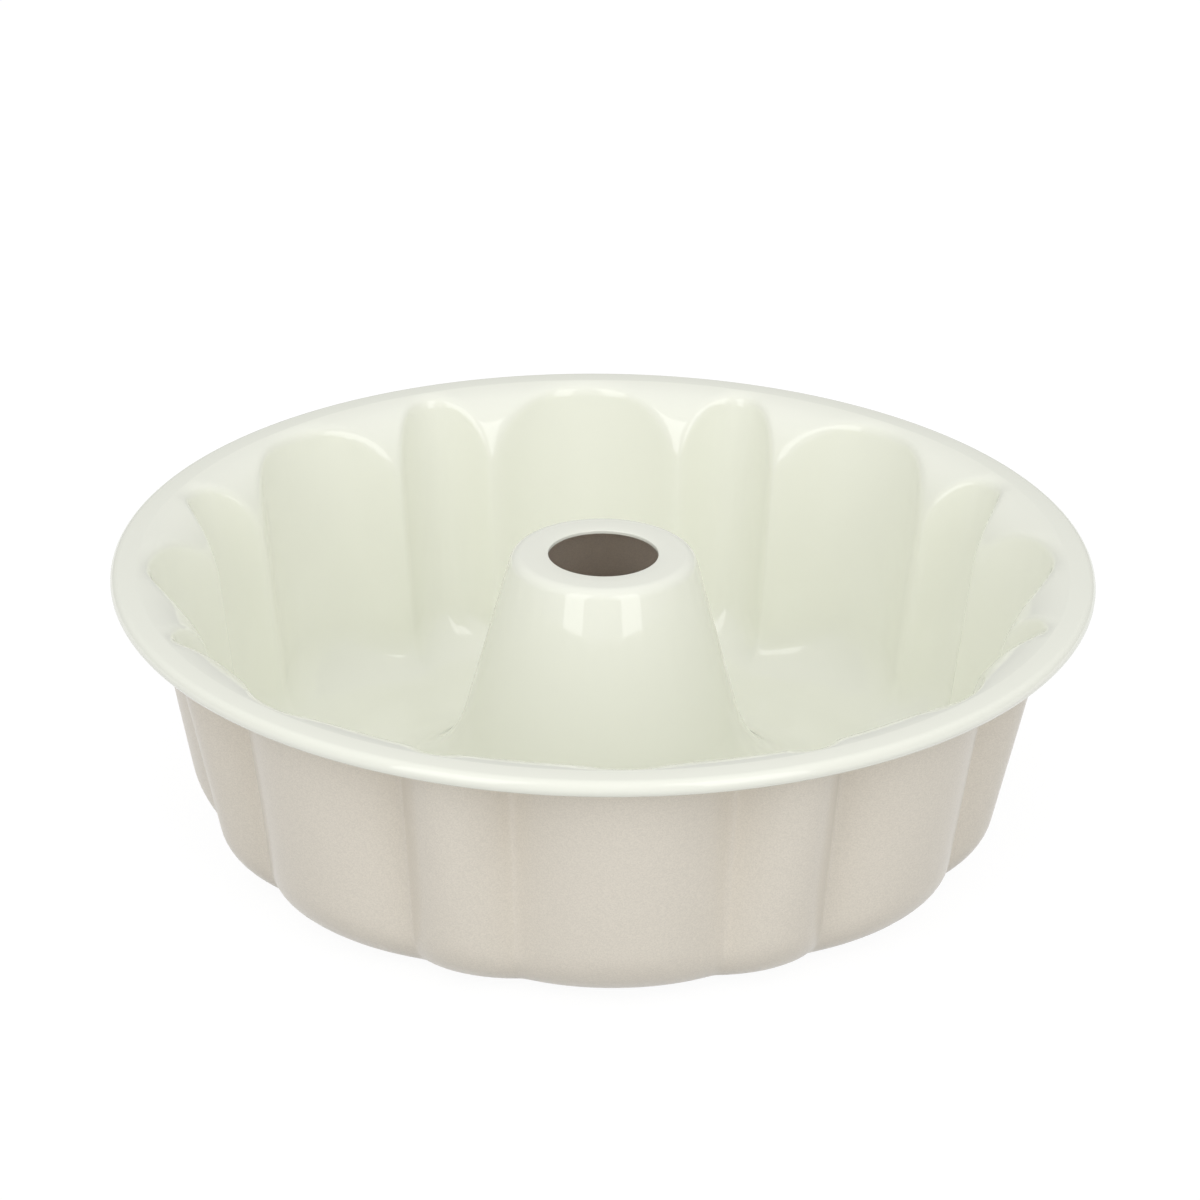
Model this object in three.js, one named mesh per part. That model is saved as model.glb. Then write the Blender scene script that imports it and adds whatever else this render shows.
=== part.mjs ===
// Fluted tube pan: a pressed steel body and a drawn steel centre tube, lapped together at the tube's
// foot and covered on the food side, round the rolled rim and over the hole's edge by one ceramic lining.
// Millimetres, +Z up, origin on the table under the tube's axis.
import * as THREE from 'three';

const DEGREE = Math.PI / 180;

// Sheet and coat
const STEEL_THICKNESS = 0.8;
const LINING_THICKNESS = 0.15;

// Rolled rim and flange
const RIM_RADIUS = 130;
const RIM_HEIGHT = 77.2;
const ROLL_RADIUS = 2.2;
const ROLL_SWEEP = 270 * DEGREE;
const FLANGE_START_RADIUS = 123.5;
const MOUTH_FILLET = 3;

// Fluted wall, measured on its outside face
const FLUTE_PAIRS = 8;
const WIDE_LOBE_HALF_ANGLE = 14.7 * DEGREE;
const FLOOR_RADIUS = 87.5;
const WIDE_LOBE_BASE_FILLET = 23.3;
const NARROW_LOBE_BASE_FILLET = 21.6;
const CREASE_BASE_FILLET = 15;
const CREASE_TAPER = 6.3 * DEGREE;
const CREASE_FLARE_RADIUS = 22;
const CREASE_SOFTNESS = 0.13;
const LOBE_FOOT_FULLNESS = 2.1;
const LOBE_HEAD_FULLNESS = 2.3;

// Centre tube, measured on its lined face
const TUBE_HEIGHT = 77.7;
const TUBE_TOP_RADIUS = 24.3;
const TUBE_TAPER = 15.1 * DEGREE;
const SHOULDER_RADIUS = 3.5;
const HOLE_RADIUS = 14.6;
const FOOT_RADIUS = 40;

// Lap joint between the tube's foot and the floor's upturned collar
const JOINT_HEIGHT = 11;
const LAP_LENGTH = 7;
const LAP_CLEARANCE = 0.1;
const LAP_GLAZE_FILLET = 0.9;

// Facets
const TUBE_SEGMENTS = 36;
const WIDE_LOBE_STATIONS = [0, 0.4, 0.78];
const NARROW_LOBE_STATIONS = [0, 0.45];
const BASE_FILLET_STEPS = 4;
const FLARE_STEPS = 3;
const ROLL_STEPS = 6;
const SHOULDER_STEPS = 2;
const FOOT_STEPS = 2;
const DERIVATIVE_STEP = 1e-4;

// Sizes that follow from the driving ones
const WALL = STEEL_THICKNESS + LINING_THICKNESS;
const FLANGE_UNDERSIDE = RIM_HEIGHT - WALL;
const FLUTE_PERIOD = 2 * Math.PI / FLUTE_PAIRS;
const NARROW_LOBE_HALF_ANGLE = FLUTE_PERIOD / 2 - WIDE_LOBE_HALF_ANGLE;
const MOUTH_CENTRE = new THREE.Vector2(FLANGE_START_RADIUS, FLANGE_UNDERSIDE - MOUTH_FILLET);
const CREASE_FLARE_CENTRE = creaseFlareCentre();
const FLARE_END = MOUTH_CENTRE.clone().sub(CREASE_FLARE_CENTRE).angle();
const TUBE_FOOT_ARC = FOOT_RADIUS + WALL;
const BODY_FOOT_ARC = TUBE_FOOT_ARC + LAP_CLEARANCE + STEEL_THICKNESS;
const FOOT_CENTRE_HEIGHT = BODY_FOOT_ARC;
const FOOT_CENTRE_RADIUS = tubeConeRadius(FOOT_CENTRE_HEIGHT) + FOOT_RADIUS / Math.cos(TUBE_TAPER);
const FOOT_ARC_TOP = Math.PI + TUBE_TAPER;
const FOOT_ARC_BOTTOM = 1.5 * Math.PI;
const JOINT_ANGLE = Math.PI + Math.asin((FOOT_CENTRE_HEIGHT - JOINT_HEIGHT) / TUBE_FOOT_ARC);
const COLLAR_TOP_ANGLE = JOINT_ANGLE - LAP_LENGTH / TUBE_FOOT_ARC;

// Radius of the tube's lined cone at a height, carried on past its shoulder and its foot.
function tubeConeRadius(height) {
  return TUBE_TOP_RADIUS + (TUBE_HEIGHT - height) * Math.tan(TUBE_TAPER);
}

// Angles round the fluted wall, closest together where the lobes turn into the creases.
function fluteAngles() {
  const inOnePeriod = [];
  for (const share of WIDE_LOBE_STATIONS) inOnePeriod.push(share * WIDE_LOBE_HALF_ANGLE);
  inOnePeriod.push(WIDE_LOBE_HALF_ANGLE);
  for (const share of NARROW_LOBE_STATIONS) {
    inOnePeriod.push(FLUTE_PERIOD / 2 - share * NARROW_LOBE_HALF_ANGLE);
  }
  const bothSides = new Set();
  for (const angle of inOnePeriod) {
    bothSides.add(angle);
    if (angle > 0) bothSides.add(FLUTE_PERIOD - angle);
  }
  const sorted = [...bothSides].sort((a, b) => a - b);
  const distinct = sorted.filter((angle, i) => i === 0 || angle - sorted[i - 1] > DERIVATIVE_STEP);
  const all = [];
  for (let pair = 0; pair < FLUTE_PAIRS; pair++) {
    for (const angle of distinct) all.push(pair * FLUTE_PERIOD + angle);
  }
  return all;
}

function evenAngles(count) {
  return Array.from({ length: count }, (_, i) => i * 2 * Math.PI / count);
}

const FLUTE_ANGLES = fluteAngles();
const TUBE_ANGLES = evenAngles(TUBE_SEGMENTS);

// Centre of the crease's flare in section: it touches the crease's straight wall and the mouth fillet.
function creaseFlareCentre() {
  const outwards = new THREE.Vector2(Math.cos(CREASE_TAPER), -Math.sin(CREASE_TAPER));
  const upwards = new THREE.Vector2(Math.sin(CREASE_TAPER), Math.cos(CREASE_TAPER));
  const base = new THREE.Vector2(FLOOR_RADIUS, CREASE_BASE_FILLET);
  const toMouth = MOUTH_CENTRE.clone().sub(base);
  const across = CREASE_BASE_FILLET + CREASE_FLARE_RADIUS;
  const betweenCentres = CREASE_FLARE_RADIUS - MOUTH_FILLET;
  const up = toMouth.dot(upwards) - Math.sqrt(betweenCentres ** 2 - (across - toMouth.dot(outwards)) ** 2);
  return base.addScaledVector(outwards, across).addScaledVector(upwards, up);
}

function onArc(centre, radius, angle) {
  return new THREE.Vector2(centre.x + radius * Math.cos(angle), centre.y + radius * Math.sin(angle));
}

// One outline of the fluted wall's outside: a base fillet on the floor's edge, a straight wall, a flare and
// the round mouth fillet up to the flange. The position runs from 0 to 4, one unit for each of them.
function wallOutline(baseFillet, taper, flareCentre, flareRadius) {
  const { lerp } = THREE.MathUtils;
  const base = new THREE.Vector2(FLOOR_RADIUS, baseFillet);
  const wallFoot = onArc(base, baseFillet, -taper);
  const wallHead = onArc(flareCentre, flareRadius, Math.PI - taper);
  return (position) => {
    if (position <= 1) return onArc(base, baseFillet, lerp(-Math.PI / 2, -taper, position));
    if (position <= 2) return wallFoot.clone().lerp(wallHead, position - 1);
    if (position <= 3) return onArc(flareCentre, flareRadius, lerp(Math.PI - taper, FLARE_END, position - 2));
    return onArc(MOUTH_CENTRE, MOUTH_FILLET, lerp(FLARE_END, Math.PI / 2, position - 3));
  };
}

// A crest has no flare of its own: its wall runs straight up to the mouth fillet.
function crestOutline(baseFillet) {
  const toMouth = MOUTH_CENTRE.clone().sub(new THREE.Vector2(FLOOR_RADIUS, baseFillet));
  const crossing = Math.asin((baseFillet + MOUTH_FILLET) / toMouth.length());
  const taper = Math.atan2(toMouth.x, toMouth.y) - crossing;
  return wallOutline(baseFillet, taper, MOUTH_CENTRE, MOUTH_FILLET);
}

const wideCrest = crestOutline(WIDE_LOBE_BASE_FILLET);
const narrowCrest = crestOutline(NARROW_LOBE_BASE_FILLET);
const crease = wallOutline(CREASE_BASE_FILLET, CREASE_TAPER, CREASE_FLARE_CENTRE, CREASE_FLARE_RADIUS);

// How far a lobe stands out of the creases: 0 in a crease, 1 on a crest. The lobes get fuller up the wall.
function lobeAt(angle, position) {
  const { clamp, euclideanModulo, lerp } = THREE.MathUtils;
  const local = Math.abs(euclideanModulo(angle + FLUTE_PERIOD / 2, FLUTE_PERIOD) - FLUTE_PERIOD / 2);
  const isWide = local < WIDE_LOBE_HALF_ANGLE;
  const fromCrest = isWide ? local / WIDE_LOBE_HALF_ANGLE
    : (FLUTE_PERIOD / 2 - local) / NARROW_LOBE_HALF_ANGLE;
  const fullness = lerp(LOBE_FOOT_FULLNESS, LOBE_HEAD_FULLNESS, clamp(position - 1, 0, 1));
  const arch = 1 - fromCrest ** fullness;
  const soften = (value) => Math.hypot(value, CREASE_SOFTNESS) - CREASE_SOFTNESS;
  return { crest: isWide ? wideCrest : narrowCrest, share: soften(arch) / soften(1) };
}

function flutedPoint(angle, position) {
  const lobe = lobeAt(angle, position);
  const section = crease(position).lerp(lobe.crest(position), lobe.share);
  return new THREE.Vector3(section.x * Math.cos(angle), section.x * Math.sin(angle), section.y);
}

// A ring of stations: points on the pan's outside face with their directions to the food side.
function flutedRing(position) {
  const before = Math.max(0, position - DERIVATIVE_STEP);
  const after = Math.min(4, position + DERIVATIVE_STEP);
  return FLUTE_ANGLES.map((angle) => {
    const along = flutedPoint(angle, after).sub(flutedPoint(angle, before));
    const around = flutedPoint(angle + DERIVATIVE_STEP, position)
      .sub(flutedPoint(angle - DERIVATIVE_STEP, position));
    return { angle, point: flutedPoint(angle, position), toFood: along.cross(around).normalize() };
  });
}

function turnedRing(angles, radius, height, toFoodRadius, toFoodHeight) {
  return angles.map((angle) => ({
    angle,
    point: new THREE.Vector3(radius * Math.cos(angle), radius * Math.sin(angle), height),
    toFood: new THREE.Vector3(toFoodRadius * Math.cos(angle), toFoodRadius * Math.sin(angle), toFoodHeight),
  }));
}

// Rings along an arc in section. The food side lies away from the arc's centre, or towards it if hollow.
function arcRings(angles, centre, radius, from, to, steps, hollow = false) {
  const side = hollow ? -1 : 1;
  return Array.from({ length: steps + 1 }, (_, i) => {
    const at = THREE.MathUtils.lerp(from, to, i / steps);
    const across = Math.cos(at);
    const up = Math.sin(at);
    return turnedRing(angles, centre.x + radius * across, centre.y + radius * up, side * across, side * up);
  });
}

// The same ring moved towards the food side.
function raised(ring, distance) {
  return ring.map(({ angle, point, toFood }) => ({
    angle, toFood, point: point.clone().addScaledVector(toFood, distance),
  }));
}

// Closed solid between two stacks of rings, the back ones on the outside and the front ones on the food side.
function solidBetween(backRings, frontRings) {
  const positions = [];
  const triangles = [];
  const stored = (ring) => {
    const first = positions.length / 3;
    for (const { point } of ring) positions.push(point.x, point.y, point.z);
    return { first, angles: ring.map((station) => station.angle) };
  };
  // Triangles from one ring to the next, which may have other angles.
  const strip = (a, b, reversed) => {
    let i = 0;
    let j = 0;
    const next = (ring, k) => (k < ring.angles.length ? ring.angles[k] : 2 * Math.PI + ring.angles[0]);
    while (i < a.angles.length || j < b.angles.length) {
      const here = a.first + i % a.angles.length;
      const there = b.first + j % b.angles.length;
      const onA = i < a.angles.length && (j === b.angles.length || next(a, i + 1) <= next(b, j + 1));
      const third = onA ? a.first + (i + 1) % a.angles.length : b.first + (j + 1) % b.angles.length;
      triangles.push(...(reversed ? [here, third, there] : [here, there, third]));
      if (onA) i++;
      else j++;
    }
  };
  const back = backRings.map(stored);
  const front = frontRings.map(stored);
  for (let k = 1; k < back.length; k++) strip(back[k - 1], back[k], true);
  for (let k = 1; k < front.length; k++) strip(front[k - 1], front[k], false);
  strip(back[0], front[0], false);
  strip(front[front.length - 1], back[back.length - 1], false);
  const geometry = new THREE.BufferGeometry();
  geometry.setAttribute('position', new THREE.Float32BufferAttribute(positions, 3));
  geometry.setIndex(triangles);
  geometry.computeVertexNormals();
  return geometry;
}

function piece(name, geometry, material) {
  const mesh = new THREE.Mesh(geometry, new THREE.MeshStandardMaterial(material));
  mesh.name = name;
  return mesh;
}

// Outside face of the centre tube, from the hole's edge over the shoulder and down the cone to the lap.
function tubeRings() {
  const top = TUBE_HEIGHT - SHOULDER_RADIUS;
  const shoulder = new THREE.Vector2(tubeConeRadius(top) - SHOULDER_RADIUS / Math.cos(TUBE_TAPER), top);
  const foot = new THREE.Vector2(FOOT_CENTRE_RADIUS, FOOT_CENTRE_HEIGHT);
  return [
    turnedRing(TUBE_ANGLES, HOLE_RADIUS + LINING_THICKNESS, TUBE_HEIGHT - WALL, 0, 1),
    ...arcRings(TUBE_ANGLES, shoulder, SHOULDER_RADIUS - WALL, Math.PI / 2, TUBE_TAPER, SHOULDER_STEPS),
    ...arcRings(TUBE_ANGLES, foot, TUBE_FOOT_ARC, FOOT_ARC_TOP, COLLAR_TOP_ANGLE, FOOT_STEPS, true),
    ...arcRings(TUBE_ANGLES, foot, TUBE_FOOT_ARC, JOINT_ANGLE, JOINT_ANGLE, 1, true).slice(1),
  ];
}

// Outside face of the body: the collar inside the tube's foot, the floor, the fluted wall and the rolled rim.
function bodyRings() {
  const foot = new THREE.Vector2(FOOT_CENTRE_RADIUS, FOOT_CENTRE_HEIGHT);
  const roll = new THREE.Vector2(RIM_RADIUS - ROLL_RADIUS, RIM_HEIGHT - ROLL_RADIUS);
  const collar = arcRings(TUBE_ANGLES, foot, BODY_FOOT_ARC, COLLAR_TOP_ANGLE, JOINT_ANGLE, 1, true);
  const steps = FOOT_STEPS + 1;
  const upturn = arcRings(TUBE_ANGLES, foot, BODY_FOOT_ARC, JOINT_ANGLE, FOOT_ARC_BOTTOM, steps, true);
  const rings = [...collar, ...upturn.slice(1)];
  for (let i = 0; i <= BASE_FILLET_STEPS; i++) rings.push(flutedRing(i / BASE_FILLET_STEPS));
  for (let i = 0; i <= FLARE_STEPS; i++) rings.push(flutedRing(2 + i / FLARE_STEPS));
  rings.push(flutedRing(4));
  const rollEnd = Math.PI / 2 - ROLL_SWEEP;
  rings.push(...arcRings(FLUTE_ANGLES, roll, ROLL_RADIUS - WALL, Math.PI / 2, rollEnd, ROLL_STEPS));
  return rings;
}

const tube = tubeRings();
const body = bodyRings();
const tubeFront = tube.map((ring) => raised(ring, STEEL_THICKNESS));
const bodyFront = body.map((ring) => raised(ring, STEEL_THICKNESS));

// The lining's back lies on both steel pieces, from under the hole's edge, over the step where the tube's
// foot ends on the collar, to the end of the rolled rim. The glaze fills the step with a small fillet.
function liningGeometry() {
  const foot = new THREE.Vector2(FOOT_CENTRE_RADIUS, FOOT_CENTRE_HEIGHT);
  const collarRings = 1;
  const holeEdge = (height) => turnedRing(TUBE_ANGLES, HOLE_RADIUS, height, 0, 1);
  const stepRing = (radius, width) => {
    const at = JOINT_ANGLE + width / radius;
    return arcRings(TUBE_ANGLES, foot, radius, at, at, 1, true)[0];
  };
  const back = [tube[0], ...tubeFront, ...bodyFront.slice(collarRings)];
  const front = [
    holeEdge(TUBE_HEIGHT - WALL),
    holeEdge(TUBE_HEIGHT),
    ...tube.slice(1, -1).map((ring) => raised(ring, WALL)),
    stepRing(FOOT_RADIUS, LINING_THICKNESS),
    stepRing(BODY_FOOT_ARC - WALL, LAP_GLAZE_FILLET),
    ...body.slice(collarRings + 1).map((ring) => raised(ring, WALL)),
  ];
  return solidBetween(back, front);
}

const lacquer = { color: 0xd7d0c6, roughness: 0.38, metalness: 0.35 };
const ceramic = { color: 0xe9ebde, roughness: 0.12, metalness: 0 };

const pan = new THREE.Group();
pan.add(
  piece('fluted_body', solidBetween(body, bodyFront), lacquer),
  piece('centre_tube', solidBetween(tube, tubeFront), lacquer),
  piece('ceramic_lining', liningGeometry(), ceramic),
);

export default pan;
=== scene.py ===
"""Looks of a fluted tube pan: a pressed body in pearl lacquer, its centre tube and a glossy ceramic lining.

The pan's section is one path from the tube's hole to the end of the rolled rim. Geometry Nodes turn that path
round the tube's axis and swell it into the flutes, and each piece is the stretch between two of its stations.
"""
import math

import bpy
from bpy.props import FloatProperty, FloatVectorProperty, IntProperty, PointerProperty
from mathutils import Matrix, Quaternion, Vector


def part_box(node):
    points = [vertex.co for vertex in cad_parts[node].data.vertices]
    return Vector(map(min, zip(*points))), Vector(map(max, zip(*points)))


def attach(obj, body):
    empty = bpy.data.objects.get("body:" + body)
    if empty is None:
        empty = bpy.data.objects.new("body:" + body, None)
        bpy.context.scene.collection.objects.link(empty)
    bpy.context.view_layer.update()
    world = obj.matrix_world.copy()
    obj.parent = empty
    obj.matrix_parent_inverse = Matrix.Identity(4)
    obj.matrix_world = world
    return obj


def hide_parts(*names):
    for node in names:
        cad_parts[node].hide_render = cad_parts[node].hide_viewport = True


bl_info = {
    "name": "Fluted Tube Pan",
    "version": (1, 0, 0),
    "blender": (4, 5, 0),
    "location": "3D View > Sidebar > Tube Pan",
    "description": "Makes a fluted tube pan from its section and dresses it in lacquer and ceramic",
    "category": "Object",
}

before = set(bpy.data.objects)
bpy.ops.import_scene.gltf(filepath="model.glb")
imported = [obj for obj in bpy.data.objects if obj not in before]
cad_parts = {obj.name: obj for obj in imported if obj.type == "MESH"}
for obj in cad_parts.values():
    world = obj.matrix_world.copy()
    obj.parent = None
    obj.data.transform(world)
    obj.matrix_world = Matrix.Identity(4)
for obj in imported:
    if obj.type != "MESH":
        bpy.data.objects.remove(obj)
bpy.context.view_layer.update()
LINING_LOW, LINING_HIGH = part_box("ceramic_lining")
MM = 0.001


def number(name, description, value, **options):
    """A setting that is a plain number. Those below it are lengths, angles and colours."""
    return FloatProperty(name=name, description=description, default=value, **options)


def length(name, description, millimetres):
    return number(name, description, millimetres * MM, unit="LENGTH", precision=5)


def angle(name, description, degrees):
    return number(name, description, math.radians(degrees), subtype="ANGLE")


def colour(name, description, value):
    return FloatVectorProperty(
        name=name, description=description, default=value, subtype="COLOR", size=3, min=0, max=1)


class PanSizes(bpy.types.PropertyGroup):
    """Sizes of the pan's section and flutes."""

    steel: length("Steel", "Thickness of the pressed sheet", 0.8)
    coat: length("Coat", "Thickness of the ceramic coat", 0.15)
    rim_radius: length("Rim Radius", "Outside of the rolled rim", (LINING_HIGH.x - LINING_LOW.x) / 2 / MM)
    rim_height: length("Rim Height", "Top of the flange over the table", 77.2)
    roll_radius: length("Roll Radius", "Outside radius of the roll's section", 2.2)
    roll_sweep: angle("Roll Sweep", "How far the sheet is rolled round", 270)
    flange_start: length("Flange Start", "Inner radius of the flat flange", 123.5)
    mouth_fillet: length("Mouth Fillet", "Outside radius between the wall and the flange", 3)
    floor_radius: length("Floor Radius", "Where the floor turns up into the wall", 87.5)
    wide_fillet: length("Wide Fillet", "Base fillet of a wide lobe", 23.3)
    narrow_fillet: length("Narrow Fillet", "Base fillet of a narrow lobe", 21.6)
    crease_fillet: length("Crease Fillet", "Base fillet in a crease", 15)
    crease_taper: angle("Crease Taper", "Lean of the wall in a crease", 6.3)
    flare_radius: length("Flare Radius", "Outside radius of the flare round the mouth", 17.5)
    wide_half_angle: angle("Wide Half Angle", "Half the angle that a wide lobe takes", 14.7)
    flare_edge: length("Flare Edge", "Rounding where the lobes cut into the flare", 1.2)
    lobe_fullness: number("Lobe Fullness", "Power of a lobe's arch between its creases", 2.1)
    crease_softness: number("Crease Softness", "How round a crease is, as a share of the lobe", 0.13)
    ridge_softness: number("Ridge Softness", "How round the coat makes a crease on the inside", 0.4)
    flute_pairs: IntProperty(
        name="Flute Pairs", description="Wide lobes, each with a narrow one beside it", default=8)
    tube_height: length("Tube Height", "Top of the centre tube over the table", LINING_HIGH.z / MM)
    tube_top_radius: length("Tube Top Radius", "Radius of the tube's cone at its top", 24.3)
    tube_taper: angle("Tube Taper", "Lean of the tube's side", 15.1)
    shoulder: length("Shoulder", "Rounding of the tube's top edge", 3.5)
    hole_radius: length("Hole Radius", "Radius of the hole in the tube's top", 14.6)
    hole_rounding: length("Hole Rounding", "Rounding of the coat over the hole's edge", 0.35)
    foot_radius: length("Foot Radius", "Hollow round at the tube's foot", 40)
    joint_height: length("Joint Height", "Where the tube's foot ends on the collar", 11)
    lap: length("Lap", "How far the collar reaches up inside the tube", 7)
    lap_clearance: length("Lap Clearance", "Gap between the collar and the tube's foot", 0.1)


class PanFinish(bpy.types.PropertyGroup):
    """Colours of the pan's finishes."""

    cream: colour("Cream", "Ceramic coat", (0.91, 0.921, 0.823))
    taupe: colour("Taupe", "Pearl lacquer", (0.81, 0.757, 0.665))
    # Painted light: the lacquer inside the tube is the body's taupe made lighter and warmer, standing in for
    # the light that reaches the tube's hollow.
    tube_lacquer_painted_light: colour("Lightened Umber", "Lacquer inside the tube", (0.87, 0.765, 0.645))


class StageSettings(bpy.types.PropertyGroup):
    """The camera, the lights and the table."""

    distance: length("Distance", "From the camera to the middle of the rim", 1050)
    azimuth: angle("Azimuth", "Turn of the camera round the pan", -3.1)
    elevation: angle("Elevation", "Height of the camera over the rim, as an angle", 24.67)
    roll: angle("Roll", "Lean of the camera", 0.63)
    lens: number("Lens", "Focal length in mm", 118.7)
    ambient: number("Ambient", "Radiance of the room all round", 0.49)
    front: number("Front", "Radiance of the room behind the camera", 0.4)
    overhead: number("Overhead", "Radiance of the ceiling", 0.42)
    softbox: number("Softbox", "Radiance of the two front softboxes", 1.1)
    softbox_turn: angle("Softbox Turn", "Turn of each softbox from the camera", 32.5)
    softbox_height: angle("Softbox Height", "Elevation of the softboxes' middles", 29)
    softbox_distance: length("Softbox Distance", "From the softboxes to the pan", 1500)
    softbox_width: length("Softbox Width", "Width of a softbox", 620)
    softbox_length: length("Softbox Length", "Height of a softbox's face", 1530)
    table_reach: length("Table Reach", "Half the side of the table", 4000)
    table_tone: number("Table Tone", "Lightness of the table", 0.55, subtype="FACTOR")
    table_glow: number("Table Glow", "Share of plain white in how the table looks", 0.8, subtype="FACTOR")
    table_white: number("Table White", "Strength of the white that the table shows", 1.16)


# Zones of the section with their steps, from the tube's hole to the end of the rolled rim.
ZONES = (
    ("hole wall", 1),
    ("hole edge", 4),
    ("tube top", 2),
    ("shoulder", 8),
    ("cone", 2),
    ("upper foot", 8),
    ("lap", 3),
    ("lower foot", 10),
    ("floor", 2),
    ("base fillet", 14),
    ("wall", 3),
    ("flare", 22),
    ("mouth fillet", 6),
    ("flange", 1),
    ("roll", 16),
)
STEPS = dict(ZONES)
FIRST_STATION = {}
LAST_STATION = 0
for zone_name, zone_steps in ZONES:
    FIRST_STATION[zone_name] = LAST_STATION
    LAST_STATION += zone_steps

STEPS_PER_LOBE = 28
# Stations over which the step at the tube's foot falls, in the steel and on the coat that fills it.
STEP_STATIONS = 1.5
GLAZED_STEP_STATIONS = 6.0
# Inputs of the pan's tree that differ from piece to piece.
RUN_INPUTS = ("First Station", "Last Station", "Back", "Front", "Lapped Back", "Lapped Front", "Glazed")
# Angles in the section, from the outward direction.
UP = math.pi / 2
INWARD = math.pi
DOWN = 1.5 * math.pi
# Keeps a rounding error from putting a crease in the lobe before it, as a share of a lobe.
FLOOR_GUARD = 1e-4
MERGE_DISTANCE = 1e-6
SHARP_ANGLE = math.radians(40)


class Formula:
    """A number in a node tree. Arithmetic on it adds the Math nodes that work it out."""

    def __init__(self, tree, socket):
        self.tree = tree
        self.socket = socket

    def math(self, operation, *others, clamp=False):
        node = self.tree.nodes.new("ShaderNodeMath")
        node.operation = operation
        node.use_clamp = clamp
        for value, socket in zip((self, *others), node.inputs):
            if isinstance(value, Formula):
                self.tree.links.new(value.socket, socket)
            else:
                socket.default_value = value
        return Formula(self.tree, node.outputs[0])

    def __add__(self, other):
        return self.math("ADD", other)

    def __radd__(self, other):
        return self.math("ADD", other)

    def __sub__(self, other):
        return self.math("SUBTRACT", other)

    def __rsub__(self, other):
        return (-self).math("ADD", other)

    def __neg__(self):
        return self.math("MULTIPLY", -1.0)

    def __mul__(self, other):
        return self.math("MULTIPLY", other)

    def __rmul__(self, other):
        return self.math("MULTIPLY", other)

    def __truediv__(self, other):
        return self.math("DIVIDE", other)

    def __rtruediv__(self, other):
        return self.math("POWER", -1.0) * other

    def toward(self, other, share):
        """The number that lies that share of the way from this one to the other."""
        return self + (other - self) * share

    def clamped(self):
        """The number kept between 0 and 1."""
        return self.math("ADD", 0.0, clamp=True)


def trigonometry(operation, plain):
    """A function of an angle that is a Formula or a plain number."""
    def function(turn):
        return turn.math(operation) if isinstance(turn, Formula) else plain(turn)
    return function


sin = trigonometry("SINE", math.sin)
cos = trigonometry("COSINE", math.cos)
tan = trigonometry("TANGENT", math.tan)


def hypotenuse(a, b):
    return (a * a + b * b).math("SQRT")


def other_side(long_side, side):
    """The third side of a right-angled triangle, from its hypotenuse and one side."""
    return (long_side * long_side - side * side).math("MAXIMUM", 0.0).math("SQRT")


def straight(progress, across, up):
    """Steps across and up along a straight stretch."""
    return progress * across, progress * up


def arc(progress, radius, start, end):
    """Steps across and up along an arc, between two angles from the outward direction."""
    here = progress * (end - start) + start
    return radius * (cos(here) - cos(start)), radius * (sin(here) - sin(start))


def total(steps):
    """Sum of steps across and up."""
    across, up = steps[0]
    for more_across, more_up in steps[1:]:
        across = across + more_across
        up = up + more_up
    return across, up


def add_grid(tree, size):
    """A grid whose rows run along the back of the piece and return along its front.

    Gives back its mesh, each point's column and station, and 1 on the front or 0 on the back.
    """
    nodes, link = tree.nodes, tree.links.new
    stations = size["Last Station"] - size["First Station"] + 1.0
    columns = size["Flute Pairs"] * (2.0 * STEPS_PER_LOBE)
    grid = nodes.new("GeometryNodeMeshGrid")
    grid.inputs["Size X"].default_value = 1.0
    grid.inputs["Size Y"].default_value = 1.0
    link((columns + 1.0).socket, grid.inputs["Vertices X"])
    link((stations * 2.0 + 1.0).socket, grid.inputs["Vertices Y"])
    place = nodes.new("ShaderNodeSeparateXYZ")
    link(nodes.new("GeometryNodeInputPosition").outputs[0], place.inputs[0])
    column = ((Formula(tree, place.outputs["X"]) + 0.5) * columns).math("ROUND")
    row = ((Formula(tree, place.outputs["Y"]) + 0.5) * stations * 2.0).math("ROUND")
    from_fold = row - stations + 0.5
    run = (stations - 0.5 - from_fold.math("ABSOLUTE")).math("MAXIMUM", 0.0)
    on_front = from_fold.math("GREATER_THAN", 0.0) * from_fold.math("LESS_THAN", stations)
    return grid.outputs["Mesh"], column, size["First Station"] + run, on_front


def add_surface(tree, mesh, radius, turn, height, material):
    """Moves the grid's points to their places, joins its borders, smooths all but cut edges and paints it."""
    nodes, link = tree.nodes, tree.links.new
    point = nodes.new("ShaderNodeCombineXYZ")
    link((radius * cos(turn)).socket, point.inputs["X"])
    link((radius * sin(turn)).socket, point.inputs["Y"])
    link(height.socket, point.inputs["Z"])
    placed = nodes.new("GeometryNodeSetPosition")
    link(mesh, placed.inputs["Geometry"])
    link(point.outputs[0], placed.inputs["Position"])
    merged = nodes.new("GeometryNodeMergeByDistance")
    merged.inputs["Distance"].default_value = MERGE_DISTANCE
    link(placed.outputs[0], merged.inputs["Geometry"])
    faces = nodes.new("GeometryNodeSetShadeSmooth")
    faces.domain = "FACE"
    link(merged.outputs[0], faces.inputs["Geometry"])
    bend = nodes.new("GeometryNodeInputMeshEdgeAngle")
    smooth = Formula(tree, bend.outputs["Unsigned Angle"]).math("LESS_THAN", SHARP_ANGLE)
    edges = nodes.new("GeometryNodeSetShadeSmooth")
    edges.domain = "EDGE"
    link(faces.outputs[0], edges.inputs["Geometry"])
    link(smooth.socket, edges.inputs["Shade Smooth"])
    realized = nodes.new("GeometryNodeRealizeInstances")
    link(edges.outputs[0], realized.inputs[0])
    painted = nodes.new("GeometryNodeSetMaterial")
    link(realized.outputs[0], painted.inputs["Geometry"])
    link(material, painted.inputs["Material"])
    return painted.outputs[0]


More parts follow.
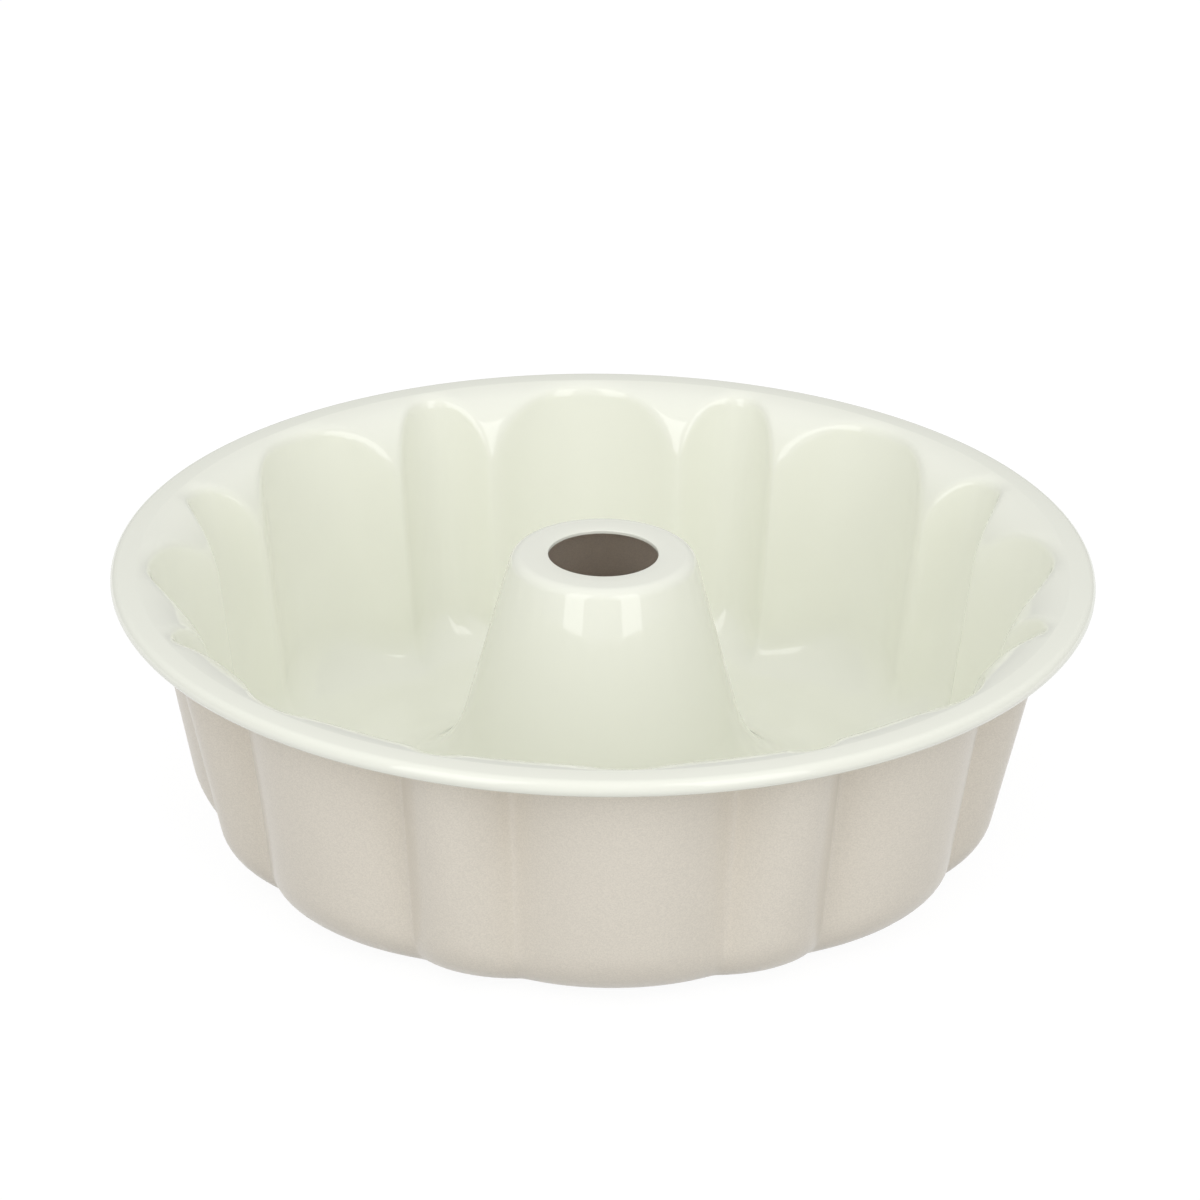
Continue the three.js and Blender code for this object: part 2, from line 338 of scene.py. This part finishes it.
def pan_tree():
    """The tree that makes a piece of the pan from its first and last station and its two faces' offsets."""
    tree = bpy.data.node_groups.new("Fluted pan", "GeometryNodeTree")
    labels = [item.keywords["name"] for item in PanSizes.__annotations__.values()]
    labels.extend(RUN_INPUTS)
    for label in labels:
        tree.interface.new_socket(name=label, in_out="INPUT", socket_type="NodeSocketFloat")
    tree.interface.new_socket(name="Material", in_out="INPUT", socket_type="NodeSocketMaterial")
    tree.interface.new_socket(name="Piece", in_out="OUTPUT", socket_type="NodeSocketGeometry")
    source = tree.nodes.new("NodeGroupInput")
    sink = tree.nodes.new("NodeGroupOutput")
    size = {label: Formula(tree, source.outputs[label]) for label in labels}
    mesh, column, station, on_front = add_grid(tree, size)

    def progress(zone):
        """How far along a zone this point is, from 0 before it to 1 after it."""
        return ((station - FIRST_STATION[zone]) / STEPS[zone]).clamped()

    # Offset of this point from the path, with the step where the tube's foot ends on the collar.
    # The coat fills that step, so it falls more gently on the front.
    step_stations = on_front * (GLAZED_STEP_STATIONS - STEP_STATIONS) + STEP_STATIONS
    past_lap = ((station - FIRST_STATION["lower foot"]) / step_stations).clamped()
    eased = past_lap * past_lap * (3.0 - 2.0 * past_lap)
    lapped = size["Lapped Back"].toward(size["Lapped Front"], on_front)
    open_face = size["Back"].toward(size["Front"], on_front)
    offset = lapped.toward(open_face, eased)

    # Lobes: points round the pan crowd towards the creases.
    lobe_place = column / STEPS_PER_LOBE
    lobe = (lobe_place + FLOOR_GUARD).math("FLOOR")
    across_lobe = sin((lobe_place - lobe - 0.5) * math.pi)
    narrow = lobe.math("MODULO", 2.0)
    lobe_pitch = math.pi / size["Flute Pairs"]
    half = size["Wide Half Angle"].toward(lobe_pitch - size["Wide Half Angle"], narrow)
    turn = lobe * lobe_pitch + across_lobe * half
    softness = size["Crease Softness"].toward(size["Ridge Softness"], size["Glazed"] * on_front)
    arch = 1.0 - across_lobe.math("ABSOLUTE").math("POWER", size["Lobe Fullness"])
    share = (hypotenuse(arch, softness) - softness) / (hypotenuse(1.0, softness) - softness)

    # Sizes that follow from the driving ones. The arc at the tube's foot rests on the table, so its middle is
    # as high as its radius.
    wall = size["Steel"] + size["Coat"]
    lap_step = size["Steel"] + size["Lap Clearance"]
    depth = wall + lap_step - offset
    taper = size["Tube Taper"]
    tan_taper = tan(taper)
    foot_arc = size["Foot Radius"] + wall + lap_step
    foot_across = (size["Tube Top Radius"] + (size["Tube Height"] - foot_arc) * tan_taper
                   + size["Foot Radius"] / cos(taper))
    shoulder_height = size["Tube Height"] - size["Shoulder"]
    shoulder_across = (size["Tube Top Radius"] + size["Shoulder"] * tan_taper
                       - size["Shoulder"] / cos(taper))
    cone = (foot_across - shoulder_across) * sin(taper) + (shoulder_height - foot_arc) * cos(taper)
    tube_back_arc = size["Foot Radius"] + wall
    joint = ((foot_arc - size["Joint Height"]) / tube_back_arc).math("ARCSINE") + INWARD
    collar_top = joint - size["Lap"] / tube_back_arc
    rounding = size["Hole Rounding"]
    roll_across = size["Rim Radius"] - size["Roll Radius"]
    underside = size["Rim Height"] - wall

    # The path up to the wall.
    to_wall = total((
        (size["Hole Radius"] + depth, size["Tube Height"] - wall),
        straight(progress("hole wall"), 0.0, wall - rounding),
        arc(progress("hole edge"), rounding - depth, INWARD, UP),
        straight(progress("tube top"), shoulder_across - size["Hole Radius"] - rounding, 0.0),
        arc(progress("shoulder"), size["Shoulder"] - depth, UP, taper),
        straight(progress("cone"), cone * sin(taper), -(cone * cos(taper))),
        arc(progress("upper foot"), foot_arc - offset, taper + INWARD, collar_top),
        arc(progress("lap"), foot_arc - offset, collar_top, joint),
        arc(progress("lower foot"), foot_arc - offset, joint, DOWN),
        straight(progress("floor"), size["Floor Radius"] - foot_across, 0.0),
    ))

    # The flare of revolution round the mouth touches the creases' straight wall and the mouth fillet.
    mouth = size["Mouth Fillet"]
    mouth_across = size["Flange Start"] - size["Floor Radius"]
    mouth_up = underside - mouth
    flare = size["Flare Radius"]
    crease_lean = size["Crease Taper"]
    crease_fillet = size["Crease Fillet"]
    from_wall = mouth_across * cos(crease_lean) - (mouth_up - crease_fillet) * sin(crease_lean)
    beyond = crease_fillet + flare - from_wall
    rise = other_side(flare - mouth, beyond)
    flare_end = rise.math("ARCTAN2", -beyond) - crease_lean
    flare_across = mouth_across - (flare - mouth) * cos(flare_end)
    flare_up = mouth_up - (flare - mouth) * sin(flare_end)
    head = flare_up + (flare + offset) * sin(crease_lean)
    end = flare_up + (flare + offset) * sin(flare_end)
    above_head = (end - head) * progress("flare")
    here = head + above_head

    def straight_wall(fillet, lean):
        """Steps along a base fillet and a straight wall, and how far out the wall's head is."""
        arc_radius = fillet - offset
        foot = fillet - arc_radius * sin(lean)
        steps = total((
            arc(progress("base fillet"), arc_radius, -UP, -lean),
            straight(progress("wall"), (head - foot) * tan(lean), head - foot),
        ))
        return steps, arc_radius * cos(lean) + (head - foot) * tan(lean)

    # A crest runs straight up to the mouth fillet.
    crest_fillet = size["Wide Fillet"].toward(size["Narrow Fillet"], narrow)
    crest_rise = mouth_up - crest_fillet
    crossing = ((crest_fillet + mouth) / hypotenuse(mouth_across, crest_rise)).math("ARCSINE")
    crest_lean = mouth_across.math("ARCTAN2", crest_rise) - crossing
    crease, crease_head = straight_wall(crease_fillet, crease_lean)
    crest, crest_head = straight_wall(crest_fillet, crest_lean)
    wall_steps = tuple(low.toward(high, share) for low, high in zip(crease, crest))

    # Lobes are cut into the flare: each point lies on the lobe or on the flare, whichever is further out.
    # The rounding between them fades to nothing at both ends of the flare.
    crease_out = crease_head + above_head * tan(crease_lean)
    crest_line = crest_head + above_head * tan(crest_lean)
    crest_arc = mouth_across - other_side(mouth + offset, here - mouth_up)
    on_arc = here.math("GREATER_THAN", mouth_up + (mouth + offset) * sin(crest_lean))
    lobe_out = crease_out.toward(crest_line.toward(crest_arc, on_arc), share)
    flare_out = flare_across - other_side(flare + offset, here - flare_up)
    blend = size["Flare Edge"] * (progress("flare") * (1.0 - progress("flare")) * 4.0)
    out = (lobe_out + flare_out + hypotenuse(lobe_out - flare_out, blend)) * 0.5
    flare_steps = (out - crease_head.toward(crest_head, share), above_head)

    # The flange and the rolled rim.
    radius, height = total((
        to_wall,
        wall_steps,
        flare_steps,
        arc(progress("mouth fillet"), mouth + offset, flare_end, UP),
        straight(progress("flange"), roll_across - size["Flange Start"], 0.0),
        arc(progress("roll"), size["Roll Radius"] - wall + offset, UP, UP - size["Roll Sweep"]),
    ))
    piece = add_surface(tree, mesh, radius, turn, height, source.outputs["Material"])
    tree.links.new(piece, sink.inputs["Piece"])
    return tree


def make_piece(context, name, values, material):
    """Runs the pan's tree with these values and gives the result back as a plain mesh object."""
    tree = bpy.data.node_groups.get("Fluted pan") or pan_tree()
    piece = bpy.data.objects.new(name, bpy.data.meshes.new(name))
    context.scene.collection.objects.link(piece)
    modifier = piece.modifiers.new("Section", "NODES")
    modifier.node_group = tree
    sizes = context.scene.pan_sizes
    settings = {item.keywords["name"]: getattr(sizes, key)
                for key, item in PanSizes.__annotations__.items()}
    settings.update(values)
    for item in tree.interface.items_tree:
        if item.in_out == "INPUT":
            modifier[item.identifier] = material if item.name == "Material" else float(settings[item.name])
    evaluated = piece.evaluated_get(context.evaluated_depsgraph_get())
    mesh = bpy.data.meshes.new_from_object(evaluated)
    mesh.name = name
    piece.modifiers.remove(modifier)
    piece.data = mesh
    return piece


# The ceramic's drift of tone, as shares of its colour, its ripple, its specks and its gloss.
DRIFT_TONES = (0.985, 1.012)
DRIFTS_PER_METRE = 9.0
RIPPLES_PER_METRE = 70.0
RIPPLE_STRENGTH = 0.03
RIPPLE_DEPTH = 0.001
SPECKS_PER_METRE = 40.0
SPECK_RADIUS = 0.0003
SPECK_COLOUR = (0.05, 0.04, 0.03, 1)
CERAMIC_ROUGHNESS = 0.02
CERAMIC_IOR = 1.75

# The lacquer's flake, as shares of its colour, and the gloss of its base and its clear coat.
FLAKE_TONES = (0.93, 1.06)
FLAKES_PER_METRE = 3200.0
LACQUER_SPECULAR = 0.1
LACQUER_ROUGHNESS = 0.35
CLEAR_COAT = 0.25
CLEAR_COAT_ROUGHNESS = 0.06


def node_of(tree, kind, **values):
    """A shader node with some of its inputs set."""
    node = tree.nodes.new(kind)
    for label, value in values.items():
        node.inputs[label.replace("_", " ")].default_value = value
    return node


def new_material(name):
    """A material with its tree, its shader and the place on the piece."""
    material = bpy.data.materials.new(name)
    material.use_nodes = True
    tree = material.node_tree
    shader = next(node for node in tree.nodes if node.type == "BSDF_PRINCIPLED")
    where = tree.nodes.new("ShaderNodeTexCoord").outputs["Object"]
    return material, tree, shader, where


def tone_ramp(tree, base, tones):
    """A ramp from one share of a colour to another."""
    ramp = tree.nodes.new("ShaderNodeValToRGB")
    for element, tone in zip(ramp.color_ramp.elements, tones):
        element.color = (*[min(1, channel * tone) for channel in base], 1)
    return ramp


def ceramic_material(name, base):
    """Glossy cream ceramic with a slight ripple, a faint drift of tone and a few tiny specks."""
    material, tree, shader, where = new_material(name)
    link = tree.links.new
    drift = node_of(tree, "ShaderNodeTexNoise", Scale=DRIFTS_PER_METRE, Detail=2.0)
    link(where, drift.inputs["Vector"])
    tone = tone_ramp(tree, base, DRIFT_TONES)
    link(drift.outputs["Fac"], tone.inputs["Fac"])
    specks = node_of(tree, "ShaderNodeTexVoronoi", Scale=SPECKS_PER_METRE)
    link(where, specks.inputs["Vector"])
    speck = Formula(tree, specks.outputs["Distance"]).math("LESS_THAN", SPECK_RADIUS * SPECKS_PER_METRE)
    spotted = tree.nodes.new("ShaderNodeMix")
    spotted.data_type = "RGBA"
    spotted.inputs["B"].default_value = SPECK_COLOUR
    link(speck.socket, spotted.inputs["Factor"])
    link(tone.outputs["Color"], spotted.inputs["A"])
    link(spotted.outputs["Result"], shader.inputs["Base Color"])
    ripple = node_of(tree, "ShaderNodeTexNoise", Scale=RIPPLES_PER_METRE, Detail=1.0)
    link(where, ripple.inputs["Vector"])
    bump = node_of(tree, "ShaderNodeBump", Strength=RIPPLE_STRENGTH, Distance=RIPPLE_DEPTH)
    link(ripple.outputs["Fac"], bump.inputs["Height"])
    link(bump.outputs["Normal"], shader.inputs["Normal"])
    shader.inputs["Roughness"].default_value = CERAMIC_ROUGHNESS
    shader.inputs["IOR"].default_value = CERAMIC_IOR
    return material


def lacquer_material(name, base):
    """Semi-gloss lacquer with a fine pearl flake."""
    material, tree, shader, where = new_material(name)
    link = tree.links.new
    flake = node_of(tree, "ShaderNodeTexVoronoi", Scale=FLAKES_PER_METRE)
    link(where, flake.inputs["Vector"])
    tone = tone_ramp(tree, base, FLAKE_TONES)
    link(flake.outputs["Color"], tone.inputs["Fac"])
    link(tone.outputs["Color"], shader.inputs["Base Color"])
    shader.inputs["Specular IOR Level"].default_value = LACQUER_SPECULAR
    shader.inputs["Roughness"].default_value = LACQUER_ROUGHNESS
    shader.inputs["Coat Weight"].default_value = CLEAR_COAT
    shader.inputs["Coat Roughness"].default_value = CLEAR_COAT_ROUGHNESS
    return material


def material_once(name, make, base):
    return bpy.data.materials.get(name) or make(name, tuple(base))


class PanOperator:
    """What the operators of the pan's pieces share."""

    bl_options = {"REGISTER", "UNDO"}


class PAN_OT_fluted_body(PanOperator, bpy.types.Operator):
    """Makes the pressed body: collar, floor, fluted wall, flange and rolled rim"""

    bl_idname = "pan.fluted_body"
    bl_label = "Fluted Body"

    def execute(self, context):
        sizes = context.scene.pan_sizes
        material = material_once("Pearl lacquer", lacquer_material, context.scene.pan_finish.taupe)
        piece = make_piece(context, "pressed_body", {
            "First Station": FIRST_STATION["lap"],
            "Last Station": LAST_STATION,
            "Back": 0.0,
            "Front": sizes.steel,
            "Lapped Back": 0.0,
            "Lapped Front": sizes.steel,
            "Glazed": 0,
        }, material)
        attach(piece, "root")
        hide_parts("fluted_body")
        return {"FINISHED"}


class PAN_OT_centre_tube(PanOperator, bpy.types.Operator):
    """Makes the drawn centre tube, whose foot laps over the body's collar"""

    bl_idname = "pan.centre_tube"
    bl_label = "Centre Tube"

    def execute(self, context):
        sizes = context.scene.pan_sizes
        # Painted light: the tube takes the lightened lacquer colour instead of the body's taupe.
        material = material_once("Tube lacquer", lacquer_material, context.scene.pan_finish.tube_lacquer_painted_light)
        step = sizes.steel + sizes.lap_clearance
        piece = make_piece(context, "drawn_tube", {
            "First Station": FIRST_STATION["tube top"],
            "Last Station": FIRST_STATION["lower foot"],
            "Back": step,
            "Front": step + sizes.steel,
            "Lapped Back": step,
            "Lapped Front": step + sizes.steel,
            "Glazed": 0,
        }, material)
        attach(piece, "root")
        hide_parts("centre_tube")
        return {"FINISHED"}


class PAN_OT_ceramic_lining(PanOperator, bpy.types.Operator):
    """Makes the ceramic lining, from the hole's edge to the end of the rolled rim"""

    bl_idname = "pan.ceramic_lining"
    bl_label = "Ceramic Lining"

    def execute(self, context):
        sizes = context.scene.pan_sizes
        material = material_once("Cream ceramic", ceramic_material, context.scene.pan_finish.cream)
        step = sizes.steel + sizes.lap_clearance
        piece = make_piece(context, "glazed_lining", {
            "First Station": FIRST_STATION["hole wall"],
            "Last Station": LAST_STATION,
            "Back": sizes.steel,
            "Front": sizes.steel + sizes.coat,
            "Lapped Back": step + sizes.steel,
            "Lapped Front": step + sizes.steel + sizes.coat,
            "Glazed": 1,
        }, material)
        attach(piece, "root")
        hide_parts("ceramic_lining")
        return {"FINISHED"}


# The picture's side and where the middle of the rim is in it, in pixels from its top left corner.
IMAGE_SIZE = 1200
RIM_CENTRE_PIXEL = (603.2, 562.1)
TABLE_DROP = 0.0002
TABLE_ROUGHNESS = 0.8
# The table doesn't glow under the pan's foot, out to this radius.
PAN_FOOT_RADIUS = 0.088


def from_pan(azimuth, elevation):
    """Direction from the pan, with azimuth 0 towards -Y."""
    return Vector((
        math.sin(azimuth) * math.cos(elevation),
        -math.cos(azimuth) * math.cos(elevation),
        math.sin(elevation)))


def add_camera(scene, sizes, stage):
    """Camera that sees the middle of the rim at its place in the picture, with its own small lean."""
    data = bpy.data.cameras.new("Camera")
    data.lens = stage.lens
    camera = bpy.data.objects.new("Camera", data)
    scene.collection.objects.link(camera)
    rim_centre = Vector((0, 0, sizes.rim_height - sizes.roll_radius))
    back = from_pan(stage.azimuth, stage.elevation)
    pixel = data.sensor_width / IMAGE_SIZE / stage.lens
    seen = Vector((
        (RIM_CENTRE_PIXEL[0] - IMAGE_SIZE / 2) * pixel,
        (IMAGE_SIZE / 2 - RIM_CENTRE_PIXEL[1]) * pixel,
        -1))
    look = (-back).to_track_quat("-Z", "Y")
    lean = Quaternion((0, 0, 1), stage.roll)
    aim = seen.rotation_difference(Vector((0, 0, -1)))
    camera.rotation_mode = "QUATERNION"
    camera.rotation_quaternion = look @ lean @ aim
    camera.location = rim_centre + back * stage.distance
    scene.camera = camera


def add_softbox(scene, stage, name, side):
    """A rectangular lamp that faces the pan."""
    data = bpy.data.lights.new(name, "AREA")
    data.shape = "RECTANGLE"
    data.size = stage.softbox_width
    data.size_y = stage.softbox_length
    data.energy = stage.softbox * math.pi * data.size * data.size_y
    lamp = bpy.data.objects.new(name, data)
    scene.collection.objects.link(lamp)
    outwards = from_pan(stage.azimuth + side * stage.softbox_turn, stage.softbox_height)
    lamp.location = outwards * stage.softbox_distance
    lamp.rotation_mode = "QUATERNION"
    lamp.rotation_quaternion = (-outwards).to_track_quat("-Z", "Y")


def add_surroundings(scene, stage):
    """A white room, softly brighter behind the camera and overhead."""
    world = bpy.data.worlds.new("Surroundings")
    world.use_nodes = True
    tree = world.node_tree
    background = next(node for node in tree.nodes if node.type == "BACKGROUND")
    direction = tree.nodes.new("ShaderNodeTexCoord").outputs["Generated"]

    def towards(place):
        """How much a direction points to that place, from 0 to 1."""
        node = tree.nodes.new("ShaderNodeVectorMath")
        node.operation = "DOT_PRODUCT"
        node.inputs[1].default_value = place
        tree.links.new(direction, node.inputs[0])
        return Formula(tree, node.outputs["Value"]).math("MAXIMUM", 0.0)

    ahead = towards(from_pan(stage.azimuth, 0))
    above = towards((0, 0, 1))
    strength = ahead * stage.front + above * above * stage.overhead + stage.ambient
    tree.links.new(strength.socket, background.inputs["Strength"])
    background.inputs["Color"].default_value = (1, 1, 1, 1)
    scene.world = world


def seen_directly(tree):
    """1 for what the camera, a mirror or glass sees, 0 for light that falls on something."""
    path = tree.nodes.new("ShaderNodeLightPath")
    kinds = ("Is Camera Ray", "Is Glossy Ray", "Is Transmission Ray")
    camera, mirror, glass = (Formula(tree, path.outputs[kind]) for kind in kinds)
    return camera.math("MAXIMUM", mirror).math("MAXIMUM", glass)


def table_material(stage):
    """White table that keeps a soft shadow of the pan and looks white beyond it."""
    material, tree, shader, where = new_material("White table")
    link = tree.links.new
    shader.inputs["Base Color"].default_value = (stage.table_tone, stage.table_tone, stage.table_tone, 1)
    shader.inputs["Roughness"].default_value = TABLE_ROUGHNESS
    glow = node_of(tree, "ShaderNodeEmission", Strength=stage.table_white)
    mix = tree.nodes.new("ShaderNodeMixShader")
    output = next(node for node in tree.nodes if node.type == "OUTPUT_MATERIAL")
    across = tree.nodes.new("ShaderNodeVectorMath")
    across.operation = "LENGTH"
    link(where, across.inputs[0])
    outside = Formula(tree, across.outputs["Value"]).math("GREATER_THAN", PAN_FOOT_RADIUS)
    link((seen_directly(tree) * outside * stage.table_glow).socket, mix.inputs[0])
    link(shader.outputs[0], mix.inputs[1])
    link(glow.outputs[0], mix.inputs[2])
    link(mix.outputs[0], output.inputs["Surface"])
    return material


def add_table(scene, stage):
    """A flat square table just under the pan."""
    reach = stage.table_reach
    corners = ((-reach, -reach), (reach, -reach), (reach, reach), (-reach, reach))
    mesh = bpy.data.meshes.new("table")
    mesh.from_pydata([(x, y, -TABLE_DROP) for x, y in corners], [], [(0, 1, 2, 3)])
    mesh.materials.append(table_material(stage))
    table = bpy.data.objects.new("table", mesh)
    scene.collection.objects.link(table)


class PAN_OT_stage(PanOperator, bpy.types.Operator):
    """Makes the table, the surroundings, the lamps and the camera"""

    bl_idname = "pan.stage"
    bl_label = "Studio Stage"

    def execute(self, context):
        scene = context.scene
        stage = scene.pan_stage
        add_table(scene, stage)
        add_surroundings(scene, stage)
        add_softbox(scene, stage, "Left softbox", -1)
        add_softbox(scene, stage, "Right softbox", 1)
        add_camera(scene, scene.pan_sizes, stage)
        scene.view_settings.view_transform = "Standard"
        return {"FINISHED"}


class PAN_PT_tube_pan(bpy.types.Panel):
    """Sizes, colours and makers of the pan's pieces"""

    bl_idname = "PAN_PT_tube_pan"
    bl_label = "Fluted Tube Pan"
    bl_space_type = "VIEW_3D"
    bl_region_type = "UI"
    bl_category = "Tube Pan"

    def draw(self, context):
        layout = self.layout
        for operator in MAKERS:
            layout.operator(operator.bl_idname)
        for group in (context.scene.pan_sizes, context.scene.pan_finish, context.scene.pan_stage):
            box = layout.box()
            for name in type(group).__annotations__:
                box.prop(group, name)


SETTINGS = {"pan_sizes": PanSizes, "pan_finish": PanFinish, "pan_stage": StageSettings}
MAKERS = (PAN_OT_fluted_body, PAN_OT_centre_tube, PAN_OT_ceramic_lining, PAN_OT_stage)
CLASSES = (*SETTINGS.values(), *MAKERS, PAN_PT_tube_pan)


def register():
    for cls in CLASSES:
        bpy.utils.register_class(cls)
    for name, group in SETTINGS.items():
        setattr(bpy.types.Scene, name, PointerProperty(type=group))


def unregister():
    for name in SETTINGS:
        delattr(bpy.types.Scene, name)
    for cls in reversed(CLASSES):
        bpy.utils.unregister_class(cls)


def main():
    register()
    bpy.ops.pan.fluted_body()
    bpy.ops.pan.centre_tube()
    bpy.ops.pan.ceramic_lining()
    bpy.ops.pan.stage()


if __name__ == "__main__":
    main()
